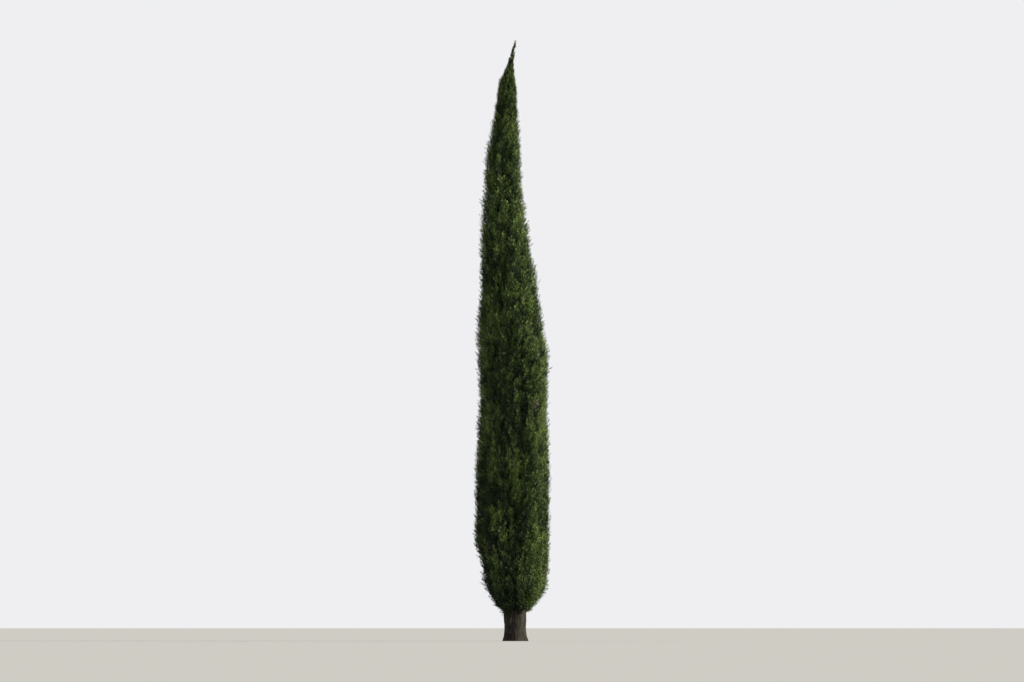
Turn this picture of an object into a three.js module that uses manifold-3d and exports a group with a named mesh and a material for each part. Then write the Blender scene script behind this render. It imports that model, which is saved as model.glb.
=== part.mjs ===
// A pencil cypress, 10.8 m tall: a fluted trunk that runs up to the leader, steep boughs, and a narrow crown
// of upright plumes set in tiers round the trunk. The inside of the crown is bare, as on a living tree, and
// each plume hangs on the one bough that enters its foot.
// Millimetres, +Z up. The origin is the middle of the flat cut at ground level, +X is to the right and -Y is
// towards the viewer.
import * as THREE from "three";
import { mergeVertices } from "three/addons/utils/BufferGeometryUtils.js";
import Module from "manifold-3d";

const wasm = await Module();
wasm.setup();

// Driving dimensions of the whole tree
const HEIGHT = 10800;
const CROWN_FOOT = 430;
const CLEARANCE = 2; // left free between neighbouring pieces

// The middle of the trunk and crown at each height: [height, x, y]
const CENTRE_LINE = [
  [0, 0, 0],
  [2600, -20, 30],
  [5200, -45, -15],
  [6400, -115, -35],
  [7600, -180, -10],
  [8800, -190, 30],
  [9700, -140, 25],
  [10300, -100, 10],
  [HEIGHT, 12, 0],
];

// How far the crown reaches right and left of the plumb line through the origin: [height, reach]
const RIGHT_REACH = [
  [CROWN_FOOT, 330],
  [700, 500],
  [1000, 585],
  [2900, 635],
  [4700, 615],
  [5900, 474],
  [7000, 292],
  [7600, 190],
  [8750, 112],
  [9700, 52],
  [10300, 0],
  [HEIGHT, 24],
];
const LEFT_REACH = [
  [CROWN_FOOT, 220],
  [700, 310],
  [1000, 560],
  [1480, 580],
  [1620, 720],
  [3200, 700],
  [4700, 605],
  [5300, 670],
  [6400, 617],
  [7600, 565],
  [8750, 490],
  [9300, 400],
  [9700, 320],
  [10050, 295],
  [10300, 170],
  [HEIGHT, 0],
];
const DEPTH_SHARE = 0.97; // the crown's size from front to back, as a share of its width

// The trunk
const TRUNK_TOP = 10350;
const TRUNK_RADIUS = 166;
const TRUNK_TIP_RADIUS = 6;
const TRUNK_TAPER = 0.9;
const ROOT_SPREAD = 52; // how much the root flare adds to the radius at the ground
const ROOT_RISE = 170; // the height over which the flare dies away
const FLUTES = 5;
const FLUTE_TURN = 0.6; // where the first one stands, in radians
const FLUTE_DEPTH = 0.045; // as a share of the radius
const ROOT_DEPTH = 0.45; // as a share of the root flare
const TRUNK_RINGS = 20;
const TRUNK_CROWDING = 1.6; // over 1, the rings lie closer together towards the ground
const TRUNK_SIDES = 15;

// The bare inside of the crown
const BARE_WIDTH = 75; // between the trunk and the plumes, at the foot of the crown
const BARE_TIP_WIDTH = 12; // the same, at the top

// The tiers of plumes, from the ground up. foot and tip are heights, and spread is the share of its length in
// which a plume comes out to the outline. blunt is lower where its foot is fuller, and turn is the first
// plume's bearing in degrees from +X. uneven is how far feet and tips differ from plume to plume, as a share
// of the length.
const TIERS = [
  { name: "skirt", plumes: 6, foot: CROWN_FOOT, tip: 3650, spread: 0.1, blunt: 0.42, turn: 8, uneven: 0.05 },
  { name: "lower", plumes: 5, foot: 1900, tip: 5550, spread: 0.28, blunt: 0.6, turn: 30, uneven: 0.1 },
  { name: "middle", plumes: 5, foot: 3850, tip: 7450, spread: 0.28, blunt: 0.6, turn: 70, uneven: 0.1 },
  { name: "upper", plumes: 5, foot: 5700, tip: 9150, spread: 0.28, blunt: 0.6, turn: 32, uneven: 0.08 },
  { name: "spire", plumes: 3, foot: 7600, tip: 10120, spread: 0.28, blunt: 0.6, turn: 60, uneven: 0.05 },
];
const LEADER = { name: "leader", key: 0, foot: 9350, tip: HEIGHT };

// The shape of a plume
const PLUME_RINGS = 8;
const PLUME_SIDES = 8;
const RING_CROWDING = 1.35; // over 1, the rings lie closer together towards the foot
const PLUME_OVERLAP = 1.1; // its breadth, as a share of an even division of the tier
const PLUME_DEPTH = 0.36; // its half thickness, as a share of the way from the bare inside to the outline
const FOOT_LEVEL = 0.3; // where its foot lies on that way
const LUMP = 0.07; // the height of each wave on its surface, as a share of its size
const POINT_RADIUS = 4; // how blunt its two ends are
const BEARING_SPREAD = 0.16; // how far it may stand off its even place, as a share of the division
const BREADTH_SPREAD = 0.1; // how far its breadth may differ
const LEADER_SWELL = 3.2; // how soon the leader reaches its full width, and how late it narrows

// The waves on a plume's surface: how many there are round it, how fast they twist along it, and how much
// each plume's own key turns them
const LUMP_WAVES = [
  { round: 3, twist: 9, phase: 1 },
  { round: 2, twist: -17, phase: 2.4 },
];

// The boughs
const BOUGH_RADIUS = 30; // where a bough leaves the trunk, in the lowest tier
const BOUGH_TIP_SHARE = 0.6; // its radius where it enters a plume, as a share of that
const BOUGH_DROP = 420; // how far below the plume's foot it leaves the trunk, in the lowest tier
const BOUGH_LOWEST = 0.45; // the least height at which it leaves the trunk, as a share of the foot's height
const BOUGH_REACH = 0.16; // how far up its plume it would run, as a share of the plume's length
const BOUGH_BEND = 0.42; // how far out and how far up it turns upwards, as shares of the way
const BOUGH_LEVEL = 0.55; // where it would end between the bare inside and the outline
const BOUGH_DWINDLE = 0.78; // how much smaller the boughs get from the ground to the top
const BOUGH_RINGS = 3;
const BOUGH_SIDES = 6;

const barkMaterial = new THREE.MeshStandardMaterial({ color: 0x5b4e3f, roughness: 0.92, metalness: 0 });
const leafMaterial = new THREE.MeshStandardMaterial({ color: 0x36452a, roughness: 0.8, metalness: 0 });

const { lerp, smoothstep, degToRad } = THREE.MathUtils;

// A repeatable number from -1 to 1 for each key.
function chance(key) {
  const wave = Math.sin(key * 127.1 + 311.7) * 43758.5453;
  return 2 * (wave - Math.floor(wave)) - 1;
}

// A smooth function through rows of [height, value], with a level slope past either end.
function smoothThrough(rows, column = 1) {
  const slope = (i) => {
    const before = rows[Math.max(i - 1, 0)];
    const after = rows[Math.min(i + 1, rows.length - 1)];
    return (after[column] - before[column]) / (after[0] - before[0]);
  };
  return (height) => {
    const z = THREE.MathUtils.clamp(height, rows[0][0], rows.at(-1)[0]);
    const i = Math.max(rows.findLastIndex((row) => row[0] <= z && row !== rows.at(-1)), 0);
    const span = rows[i + 1][0] - rows[i][0];
    const t = (z - rows[i][0]) / span;
    const rise = t * t * (3 - 2 * t);
    return (
      rows[i][column] * (1 - rise) +
      rows[i + 1][column] * rise +
      span * t * (1 - t) * (slope(i) * (1 - t) - slope(i + 1) * t)
    );
  };
}

const centreX = smoothThrough(CENTRE_LINE, 1);
const centreY = smoothThrough(CENTRE_LINE, 2);
const rightReach = smoothThrough(RIGHT_REACH);
const leftReach = smoothThrough(LEFT_REACH);

function trunkRadius(z) {
  return lerp(TRUNK_TIP_RADIUS, TRUNK_RADIUS, Math.max(1 - z / TRUNK_TOP, 0) ** TRUNK_TAPER);
}

// From the centre line to the crown's outline at one height, in one bearing.
function crownRadius(z, bearing) {
  const right = rightReach(z) - centreX(z);
  const left = leftReach(z) + centreX(z);
  const along = Math.cos(bearing) > 0 ? right : left;
  const across = (DEPTH_SHARE * (right + left)) / 2;
  return (along * across) / Math.hypot(across * Math.cos(bearing), along * Math.sin(bearing));
}

// From the centre line to where the foliage begins.
function bareRadius(z) {
  return trunkRadius(z) + lerp(BARE_WIDTH, BARE_TIP_WIDTH, z / HEIGHT);
}

// The point at a height and bearing whose level is 0 at the bare inside and 1 at the outline.
function crownPoint(z, bearing, level) {
  const radius = lerp(bareRadius(z), crownRadius(z, bearing), level);
  return new THREE.Vector3(
    centreX(z) + radius * Math.cos(bearing),
    centreY(z) + radius * Math.sin(bearing),
    z,
  );
}

// A closed mesh from rings of as many points each. They run anticlockwise seen from above, bottom ring first,
// and the end rings are closed by flat faces.
function closedMesh(rings) {
  const sides = rings[0].length;
  const faces = [];
  for (let i = 0; i + 1 < rings.length; i++) {
    for (let j = 0; j < sides; j++) {
      const [a, b] = [i * sides + j, i * sides + ((j + 1) % sides)];
      faces.push(a, b, a + sides, b, b + sides, a + sides);
    }
  }
  const top = (rings.length - 1) * sides;
  for (let j = 1; j + 1 < sides; j++) faces.push(0, j + 1, j, top, top + j, top + j + 1);
  const mesh = new THREE.BufferGeometry().setFromPoints(rings.flat());
  mesh.setIndex(faces);
  return mesh;
}

// The manifold-3d solid of a closed mesh.
function solidOf(mesh) {
  const merged = mergeVertices(mesh.clone().deleteAttribute("normal"), 1e-3);
  return new wasm.Manifold(
    new wasm.Mesh({
      numProp: 3,
      vertProperties: merged.attributes.position.array,
      triVerts: new Uint32Array(merged.index.array),
    }),
  );
}

// Cuts the cutters away and keeps the body that scores highest.
function cutAndKeep(solid, cutters, score) {
  const rest = cutters.reduce((left, cutter) => left.subtract(cutter), solid);
  return rest.decompose().reduce((best, body) => (score(body) > score(best) ? body : best));
}

// The trunk: a tapering, leaning column with a fluted root flare, flat at the ground. spare makes it that
// much thicker and taller, as a cutter.
function trunkMesh(spare = 0) {
  const rings = [];
  for (let i = 0; i <= TRUNK_RINGS; i++) {
    const z = (TRUNK_TOP + spare) * (i / TRUNK_RINGS) ** TRUNK_CROWDING;
    const flare = Math.exp(-z / ROOT_RISE);
    const ring = [];
    for (let j = 0; j < TRUNK_SIDES; j++) {
      const bearing = (2 * Math.PI * j) / TRUNK_SIDES;
      const flute = Math.cos(FLUTES * bearing + FLUTE_TURN);
      const bare = trunkRadius(z) * (1 + FLUTE_DEPTH * flute);
      const radius = bare + ROOT_SPREAD * flare * (1 + ROOT_DEPTH * flute) + spare;
      ring.push(
        new THREE.Vector3(
          centreX(z) + radius * Math.cos(bearing),
          centreY(z) + radius * Math.sin(bearing),
          z,
        ),
      );
    }
    rings.push(ring);
  }
  return closedMesh(rings);
}

// The plumes of a tier, each with its own height, bearing and breadth.
function plumesOf(tier, tierNumber) {
  const length = tier.tip - tier.foot;
  const share = 360 / tier.plumes;
  return Array.from({ length: tier.plumes }, (_, i) => {
    const key = 20 * tierNumber + i;
    return {
      name: `${tier.name}_${i + 1}`,
      key,
      foot: tier.foot + length * tier.uneven * (1 + chance(key + 0.1)),
      tip: tier.tip + length * tier.uneven * chance(key + 0.2),
      bearing: degToRad(tier.turn + share * (i + BEARING_SPREAD * chance(key + 0.3))),
      breadth: degToRad((PLUME_OVERLAP * share) / 2) * (1 + BREADTH_SPREAD * chance(key + 0.4)),
      spread: tier.spread,
      blunt: tier.blunt,
    };
  });
}

// How full a plume is at a share of its length: nothing at either end, and fullest where share ** blunt is
// a half.
function fullness(share, blunt) {
  return Math.sin(Math.PI * share ** blunt) ** 0.7;
}

// How much larger than even a plume is at a share of its length and a turn round it.
function lump(share, turn, key) {
  return LUMP_WAVES.reduce(
    (size, wave) => size + LUMP * Math.sin(wave.round * turn + wave.twist * share + wave.phase * key),
    1,
  );
}

// A plume: its rings swell from a foot beside the trunk, lean out to the crown's outline and close in a tip
// that lies against it. A few waves of its own make the surface uneven. spare makes it that much thicker all
// round, as a cutter.
function plumeMesh(plume, spare = 0) {
  const rings = [];
  for (let i = 0; i <= PLUME_RINGS; i++) {
    const share = (i / PLUME_RINGS) ** RING_CROWDING;
    const z = lerp(plume.foot - spare, plume.tip + spare, share);
    const full = fullness(share, plume.blunt);
    const out = smoothstep(share, 0, plume.spread);
    const middle = lerp(FOOT_LEVEL, 1 - PLUME_DEPTH * full, out);
    const inner = bareRadius(z);
    const reach = crownRadius(z, plume.bearing) - inner;
    const least = POINT_RADIUS + spare;
    const ring = [];
    for (let j = 0; j < PLUME_SIDES; j++) {
      const turn = (2 * Math.PI * j) / PLUME_SIDES;
      const size = full * lump(share, turn, plume.key);
      const swing = (plume.breadth * size + least / (inner + middle * reach)) * Math.sin(turn);
      const level = middle + (PLUME_DEPTH * size + least / reach) * Math.cos(turn);
      ring.push(crownPoint(z, plume.bearing + swing, level));
    }
    rings.push(ring);
  }
  return closedMesh(rings);
}

// The leader: the thin upright tuft at the top of the trunk, wrapped all the way round it. spare is as above.
function leaderMesh(spare = 0) {
  const rings = [];
  for (let i = 0; i <= PLUME_RINGS; i++) {
    const share = i / PLUME_RINGS;
    const z = lerp(LEADER.foot - spare, LEADER.tip + spare, share);
    const full = Math.min(1, LEADER_SWELL * share) * (1 - share ** LEADER_SWELL);
    const ring = [];
    for (let j = 0; j < PLUME_SIDES; j++) {
      const turn = (2 * Math.PI * j) / PLUME_SIDES;
      const size = full * lump(share, turn, LEADER.key);
      const radius = crownRadius(z, turn) * size + POINT_RADIUS + spare;
      ring.push(
        new THREE.Vector3(centreX(z) + radius * Math.cos(turn), centreY(z) + radius * Math.sin(turn), z),
      );
    }
    rings.push(ring);
  }
  return closedMesh(rings);
}

// A bough: one tapering limb that leaves the trunk below its plume, runs out and turns up into its foot.
function boughMesh(plume) {
  const size = 1 - BOUGH_DWINDLE * (plume.foot / HEIGHT);
  const start = Math.max(plume.foot - BOUGH_DROP * size, BOUGH_LOWEST * plume.foot);
  const end = plume.foot + BOUGH_REACH * (plume.tip - plume.foot);
  const from = new THREE.Vector3(centreX(start), centreY(start), start);
  const to = crownPoint(end, plume.bearing, BOUGH_LEVEL);
  const bend = crownPoint(lerp(start, end, BOUGH_BEND), plume.bearing, BOUGH_BEND);
  const path = new THREE.QuadraticBezierCurve3(from, bend, to);
  const radius = BOUGH_RADIUS * size;
  const rings = [];
  for (let i = 0; i <= BOUGH_RINGS; i++) {
    const share = i / BOUGH_RINGS;
    const middle = path.getPoint(share);
    const along = path.getTangent(share);
    const across = new THREE.Vector3(0, 0, 1).cross(along).normalize();
    const up = along.clone().cross(across);
    const ring = [];
    for (let j = 0; j < BOUGH_SIDES; j++) {
      const turn = (2 * Math.PI * j) / BOUGH_SIDES;
      const thick = radius * lerp(1, BOUGH_TIP_SHARE, share);
      ring.push(
        middle
          .clone()
          .addScaledVector(across, thick * Math.cos(turn))
          .addScaledVector(up, thick * Math.sin(turn)),
      );
    }
    rings.push(ring);
  }
  return closedMesh(rings);
}

// A named mesh of a solid, for the scene graph.
function namedMesh(name, solid, material) {
  const { numProp, numVert, vertProperties, triVerts } = solid.getMesh();
  const positions = new Float32Array(numVert * 3);
  for (let i = 0; i < numVert; i++)
    positions.set(vertProperties.subarray(i * numProp, i * numProp + 3), i * 3);
  const geometry = new THREE.BufferGeometry()
    .setAttribute("position", new THREE.BufferAttribute(positions, 3))
    .setIndex(new THREE.BufferAttribute(triVerts, 1));
  geometry.computeVertexNormals();
  const mesh = new THREE.Mesh(geometry, material);
  mesh.name = name;
  return mesh;
}

const volume = (body) => body.volume();
const lowness = (body) => -body.boundingBox().min[2];

const cypress = new THREE.Group();
const trunkCutter = solidOf(trunkMesh(CLEARANCE));
cypress.add(namedMesh("trunk", solidOf(trunkMesh()), barkMaterial));

// Each plume is cut round those below it and beside it, and the leader round all of them and the trunk.
const plumes = TIERS.flatMap(plumesOf);
const plumeCutters = [];
for (const plume of plumes) {
  const solid = cutAndKeep(solidOf(plumeMesh(plume)), plumeCutters, volume);
  plumeCutters.push(solidOf(plumeMesh(plume, CLEARANCE)));
  cypress.add(namedMesh(`foliage_${plume.name}`, solid, leafMaterial));
}
const leaderSolid = cutAndKeep(solidOf(leaderMesh()), [...plumeCutters, trunkCutter], volume);
plumeCutters.push(solidOf(leaderMesh(CLEARANCE)));
cypress.add(namedMesh(`foliage_${LEADER.name}`, leaderSolid, leafMaterial));

for (const plume of plumes) {
  const solid = cutAndKeep(solidOf(boughMesh(plume)), [trunkCutter, ...plumeCutters], lowness);
  cypress.add(namedMesh(`bough_${plume.name}`, solid, barkMaterial));
}

export default cypress;
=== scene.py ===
"""A pencil cypress grown from its limbs: bark, boughs, shoots, sprays of scale leaves and cones."""

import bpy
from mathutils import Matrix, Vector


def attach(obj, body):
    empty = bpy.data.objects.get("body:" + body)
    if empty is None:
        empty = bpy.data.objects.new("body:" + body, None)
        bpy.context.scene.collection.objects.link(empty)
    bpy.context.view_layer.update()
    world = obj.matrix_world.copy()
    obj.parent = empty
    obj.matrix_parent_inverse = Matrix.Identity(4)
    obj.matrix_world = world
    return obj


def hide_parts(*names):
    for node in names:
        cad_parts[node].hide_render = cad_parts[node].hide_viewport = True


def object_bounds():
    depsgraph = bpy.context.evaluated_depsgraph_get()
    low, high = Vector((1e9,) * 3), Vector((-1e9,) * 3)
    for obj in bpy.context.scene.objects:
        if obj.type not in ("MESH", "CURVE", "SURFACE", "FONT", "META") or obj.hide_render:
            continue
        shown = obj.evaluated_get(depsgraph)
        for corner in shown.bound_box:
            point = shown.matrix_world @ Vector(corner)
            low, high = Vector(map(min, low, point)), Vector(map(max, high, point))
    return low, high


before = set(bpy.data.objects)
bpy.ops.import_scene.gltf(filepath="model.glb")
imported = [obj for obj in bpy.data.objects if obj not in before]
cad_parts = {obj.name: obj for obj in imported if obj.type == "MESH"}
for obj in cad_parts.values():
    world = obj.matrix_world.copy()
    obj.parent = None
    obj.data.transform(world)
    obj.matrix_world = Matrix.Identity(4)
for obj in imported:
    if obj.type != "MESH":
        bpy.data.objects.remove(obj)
CAD_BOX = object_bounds()

from types import SimpleNamespace

import bpy
import numpy as np
from mathutils import Vector

# Sizes are in metres and turns in radians. The CAD masses give the crown's outline.
MASSES = sorted(name[len("foliage_"):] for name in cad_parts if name.startswith("foliage_"))
TIERS = sorted({mass.split("_")[0] for mass in MASSES})
TREE_HEIGHT = CAD_BOX[1].z
SEED = 20
GOLDEN_TURN = np.pi * (3 - 5**0.5)

# The crown's map, over height and bearing
MAP_POINTS = 400_000
MAP_STEP = 0.05
MAP_BEARINGS = 72
NEARBY_BEARINGS = (0, 1, -1, 2, -2)
SEAM_DEPTH = 0.05  # where masses part, the skin is drawn out to this far under the outline
FULL_REACH = 0.3  # where the crown reaches less far than this, near the tip, everything gets finer
LEAST_FINENESS = 0.32
BUD_LEVELS = 600  # at which the spacing of buds is worked out
BUD_ASIDE = 0.85  # how much of its cell's width a bud may lie in
LEAST_BUDS = 3  # in a row round the crown

# A bough carries branches, a branch carries shoots, a shoot carries sprays and a spray carries leaves
BRANCH_STEP = 0.27
BRANCH_TALL = 2.2  # how many times as high as wide a branch's own plume is
BRANCH_RISE = (0.5, 0.85)
BRANCH_DEPTH = 0.13
BRANCH_TURN = (0.8, 0.8, 0.35)  # where it turns upwards, as shares of its way across and up
BRANCH_RADIUS = 0.011
BRANCH_RINGS = 7
BRANCH_SIDES = 4
TWIG_TAPER = 0.3  # how thick a branch or a shoot is at its end, as a share of its start
SHOOT_RISE = 0.28
SHOOT_LEAST_RISE = 0.06
SHOOT_TURN = (0.75, 0.75, 0.3)
SHOOT_STARTS = (0.25, 0.97, 13)  # the stretch of a branch that shoots leave from, and at how many places
LIMB_STARTS = 40  # places on a limb that shoots may leave from
RISE_COST = 0.7  # what a metre off the wanted rise counts, against a metre across
LOW_COST = 5  # and a metre under the least rise
SHOOT_RADIUS = 0.0045
SHOOT_RINGS = 4
SHOOT_SIDES = 3
PLUME_HALF = 0.15  # half the width of the plume that one branch makes
PLUME_CROWN = 0.05  # how much deeper the shoots at its sides end
PLUME_UNEVEN = 0.055  # how much deeper the least of the plumes ends than the fullest
SHOOT_UNEVEN = (-0.02, 0.03)
SPRAY_START = 0.36
SPRAY_SHIFT = (-0.02, 0.02)
SPRAY_LEAN = 0.72
SPRAY_CLOSING = 0.45  # how much less the last sprays of a shoot lean, as a share
SPRAY_UNEVEN = (0.75, 1.25)
SPRAY_OUT = 0.22  # how much sprays are drawn straight out of the crown
SPRAY_UP = 0.25
SPRAY_SIZES = (0.8, 1.1)
LAST_LEAN = (0.15, 0.2)  # how much of its lean the spray or sprig that carries the stem on keeps
STEM_WIDTH = 0.0055
STEM_SHARE = 1.2  # how far a spray's stem runs, as a share of the spray
STEM_SAG = 0.1  # how far a spray's turning point hangs, as a share of its length
OLD_BREADTH = 1.4  # how many times as broad as the outermost the cords of a shoot's innermost sprays are
# The cords of one leafy sprig: where each starts on the first, its bearing from it, and how long it is
SPRIG = np.array([[0, 0, 1], [0.1, 0.48, 0.66], [0.22, -0.5, 0.6], [0.4, 0.46, 0.44], [0.54, -0.46, 0.34]])
SPRIG_LIFT = 0.7  # how far the side cords rise out of the sprig's plane for each metre aside
SPRIG_STRETCH = (0.04, 0.86)  # of the spray
SPRIG_SHIFT = (-0.04, 0.04)
SPRIG_LEAN = (0.75, 0.45)  # at the spray's foot, and how much less at its end
SPRIG_UNEVEN = (0.7, 1.3)
SPRIG_SHRINK = 0.35  # how much shorter at the spray's end, as a share
SPRIG_SIZES = (0.75, 1.2)
SPRIG_WIDTHS = (0.8, 1.2)
FINE_POWER = 0.6  # sprigs get smaller by less than their sprays where the crown is slender
# A cord's corners: along it and across, as shares of its length and width
CORD = np.array([[0, -0.15], [0.22, 0.85], [1, 0]])

# The young foliage outside, and the older, sparser and darker foliage within. Shoots end at a depth under
# the skin, at most at a share of the room, and pull draws them towards their plume's middle.
OUTER = SimpleNamespace(
    step=0.111, tall=1.1, depth=-0.012, most=0.4, pull=0.13, sprays=11, spray_length=0.12, leaves=5,
    leaf=(0.082, 0.0062), tone=0.0, least_fine=0,
)
INNER = SimpleNamespace(
    step=0.16, tall=1.0, depth=0.13, most=0.75, pull=0.0, sprays=9, spray_length=0.17, leaves=4,
    leaf=(0.13, 0.018), tone=-1.4, least_fine=0.5,
)
BOX_MARGIN = 0.08  # shoots end at least this far inside the CAD box's sides, and sprays pass it by little
BOX_EASE = 0.05  # over how much more than that they are held back, ever harder
# Shoots on the bare foot of each of the lowest boughs
FOOT = SimpleNamespace(shoots=12, stretch=(-0.03, 0.35), aside=0.8, out=0.11, up=0.08, room=0.2, fine=0.75)
# Shoots up the leader's last stretch, the finest at its tip
TIP = SimpleNamespace(shoots=10, stretch=0.6, half=0.045, rise=0.1, room=0.1, fine=(0.32, 0.6))
LIMB_SHARE = 0.62  # how far out a limb runs, of the way from the tree's middle to its mass's middle
LIMB_BLEND = 0.35  # the share of its mass's height over which it comes there
LIMB_END = 0.06  # how far under its mass's tip it ends, as a share of that height
LIMB_POINTS = 4000
LEADER_BELOW = 0.4
LEVEL = np.array([1, 1, 0])  # leaves the level part of a heading

# The tones by which tints are dealt out
SIDE_TONE = 0.5  # how much less at a plume's sides
SHOOT_TONES = (-0.7, 0.9)  # up a shoot
PLUME_SPREAD, SHOOT_SPREAD, SPRAY_SPREAD = 0.5, 0.35, 0.5

# Bark in long fibrous strips
STRIP_DEPTH = 0.011
STRIP_CELL = 0.0125  # two or three to a strip's width
STRIP_TWIST = 1.4  # how many cells strips lean aside in a metre
CELL_COLUMNS = 3  # of a bough's mesh to a cell
FURROW_WIDTH, FURROW_DEPTH = 0.22, 0.7  # the depth as a share of the strips'
FRAY_WIDTH, FRAY_DEPTH = 0.25, 0.3
CREST_LEVEL = 0.75  # the relief that lies on the stem's own radius
FIBRE_DEPTH = 0.0015
LATTICE_ROWS = 997
TRUNK_COLUMNS = 440
TRUNK_ROWS = 170
TRUNK_CROWDING = 4.4  # rows lie closer at the foot, where the bark shows
RING_WAVES = 6
BOUGH_COLUMNS = 24
LOW_BOUGH_COLUMNS = 66  # on the lowest boughs, whose feet show
BOUGH_ROWS = 64
BOUGH_CROWDING = 1.3
BOUGH_TAPER = 1.1
BOUGH_RELIEF = 0.24  # as a share of its radius
BOUGH_END_RADIUS = 0.004
BOUGH_COLLAR = 0.35
ROOT_BELOW = 0.34  # how far below its CAD solid a bough starts inside the trunk
ROOT_ABOVE = 0.1  # how far above that solid's foot it is quite out
ROOT_SHARE = 0.6  # how far out of the trunk's middle, and how thick, it starts: shares of the full radii
# The rib that runs down the trunk from each of the lowest boughs
RIB_DEPTH = 0.04
RIB_TURN = 0.3
RIB_BELOW = 0.42
RIB_ABOVE = 0.2

# Cones
CONE_RADIUS = 0.018
CONE_SIZES = (0.75, 1.15)
CONE_GAP = (0.01, 0.05)  # between a cone and its shoot
CONE_CLUSTERS = 24
SHOOTS_IN_CLUSTER = 3
CONES_ON_SHOOT = 3
CONE_STRETCH = (0.6, 1)  # of the shoot
CONE_SCATTER = 0.55
CONE_HEIGHTS = (1, 0.8 * TREE_HEIGHT)
CLUSTERS_IN_VIEW = ((-0.34, 6.2), (-0.34, 1.8), (0.25, 4.3))  # across and up
FACING = -0.6  # a shoot on the viewer's side heads at least so far along Y
FAR = 9  # the others count as so much further off
SCALES = 12  # on a cone
CORNERS = 20
CORNER_HEIGHTS = (0.794654, 0.187592)  # of the two upper rings of corners, on a ball of radius one
CONE_GROOVE = 0.87  # how far out the grooves between scales lie, as a share of the scales' middles

# Picture
PICTURE = (1024, 682)
VIEW_DISTANCE = 120
EYE_HEIGHT = 0.3
TREE_SHARE = 0.88  # of the picture's height


def unit(v):
    """Vectors made one long."""
    return v / np.maximum(np.linalg.norm(v, axis=-1, keepdims=True), 1e-9)


def smooth(t):
    """From 0 to 1, level at both ends."""
    t = np.clip(t, 0, 1)
    return t * t * (3 - 2 * t)


def along_curve(start, turn, end, t):
    """Points on curves that leave start towards turn and come to end: the quadratic blend of the three."""
    return start * (1 - t) ** 2 + turn * 2 * t * (1 - t) + end * t**2


def heading(start, turn, end, t):
    """The directions of those curves."""
    return unit((turn - start) * (1 - t) + (end - turn) * t)


def cross_axes(along):
    """Two directions at right angles to each heading and to each other."""
    least = np.eye(3)[np.argmin(np.abs(along), axis=-1)]
    across = unit(np.cross(along, least))
    return across, np.cross(along, across)


def round_about(along, turn, lean):
    """Headings that lean away from along by lean, at the bearing turn round it."""
    across, over = cross_axes(along)
    out = across * np.cos(turn)[..., None] + over * np.sin(turn)[..., None]
    return along * np.cos(lean)[..., None] + out * np.sin(lean)[..., None], out


# Reading the frame


def triangles_of(node):
    """A CAD node's triangles, as faces by corners by axes."""
    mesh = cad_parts[node].data
    points = np.empty(3 * len(mesh.vertices), np.float32)
    mesh.vertices.foreach_get("co", points)
    mesh.calc_loop_triangles()
    corners = np.empty(3 * len(mesh.loop_triangles), np.int32)
    mesh.loop_triangles.foreach_get("vertices", corners)
    return points.reshape(-1, 3)[corners].reshape(-1, 3, 3).astype(float)


def rings_of(node):
    """The heights of a CAD node's level rings, each ring's middle, and its corners."""
    points = np.unique(np.round(triangles_of(node).reshape(-1, 3), 5), axis=0)
    heights, ring = np.unique(np.round(points[:, 2], 3), return_inverse=True)
    rings = [points[ring == i] for i in range(len(heights))]
    return heights, np.array([r[:, :2].mean(axis=0) for r in rings]), rings


TRUNK_HEIGHTS, TRUNK_MIDDLES, TRUNK_RINGS = rings_of("trunk")
LEADER_TIP = max(triangles_of("foliage_leader").reshape(-1, 3), key=lambda p: p[2])


def trunk_radius(height):
    """The trunk's mean radius at a height, and nothing above its tip."""
    rings = zip(TRUNK_RINGS, TRUNK_MIDDLES)
    radii = [np.linalg.norm(ring[:, :2] - middle, axis=1).mean() for ring, middle in rings]
    return np.interp(height, TRUNK_HEIGHTS, radii, right=0)


def middle_line(height):
    """The tree's own middle at a height: the trunk's, carried on to the leader's tip."""
    heights = np.append(TRUNK_HEIGHTS, LEADER_TIP[2])
    middles = np.vstack([TRUNK_MIDDLES, LEADER_TIP[:2]])
    return np.stack([np.interp(height, heights, middles[:, i]) for i in range(2)], axis=-1)


def scatter(rng, triangles, count):
    """Points dealt evenly over triangles by area, with the triangles they lie on."""
    first, second = triangles[:, 1] - triangles[:, 0], triangles[:, 2] - triangles[:, 0]
    area = np.linalg.norm(np.cross(first, second), axis=1)
    chosen = rng.choice(len(area), count, p=area / area.sum())
    root, share = np.sqrt(rng.random(count)), rng.random(count)
    points = (
        triangles[chosen, 0]
        + (root * (1 - share))[:, None] * first[chosen]
        + (root * share)[:, None] * second[chosen]
    )
    return points, chosen


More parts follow.
